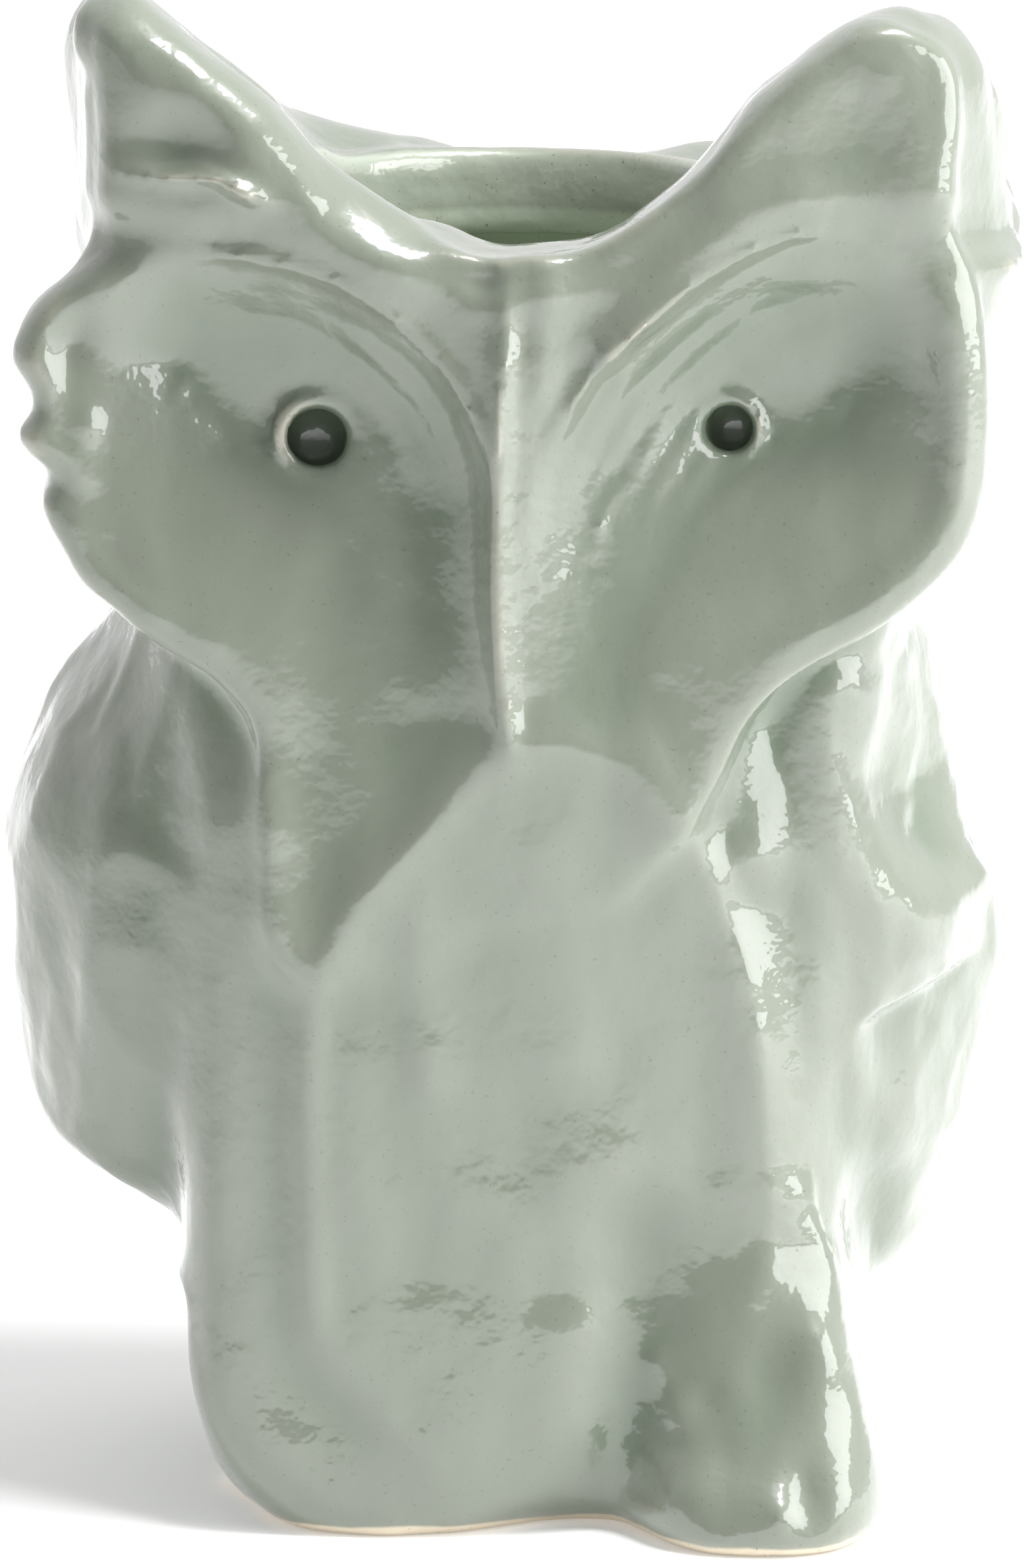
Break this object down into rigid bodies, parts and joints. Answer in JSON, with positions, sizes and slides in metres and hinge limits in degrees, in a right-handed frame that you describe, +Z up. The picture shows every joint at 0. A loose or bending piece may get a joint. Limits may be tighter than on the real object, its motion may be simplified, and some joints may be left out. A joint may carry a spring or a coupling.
{
  "type": "owl vase",
  "caption": "Upright hollow owl with a broad heart-shaped face slab, pinched ears and folded wings, and a round open mouth in the top of its head.",
  "frame": {"origin": "on the standing surface, under the middle of the round mouth", "axes": "+Z up out of the mouth, the owl looks along -Y, +X to the right as seen from the front"},
  "size_m": [0.1877, 0.1681, 0.279],
  "materials": {
    "body_glaze": "glossy pale celadon glaze over stoneware",
    "head_glaze": "glossy pale celadon glaze over stoneware",
    "face_glaze": "glossy pale celadon glaze, cream where it thins on edges",
    "foot_glaze": "glossy pale celadon glaze down to a bare cream clay foot line"
  },
  "bodies": {
    "root": {"base_slab": "foot_glaze", "body_wall": "body_glaze", "head_wall": "head_glaze", "head_top": "head_glaze", "mouth_collar": "head_glaze", "face_slab": "face_glaze", "nose_ridge": "face_glaze", "left_brow": "face_glaze", "right_brow": "face_glaze", "left_ear": "head_glaze", "right_ear": "head_glaze", "left_wing": "body_glaze", "right_wing": "body_glaze", "left_foot": "foot_glaze", "right_foot": "foot_glaze", "left_leg": "body_glaze", "right_leg": "body_glaze", "belly_slab": "body_glaze"}
  },
  "joints": []
}
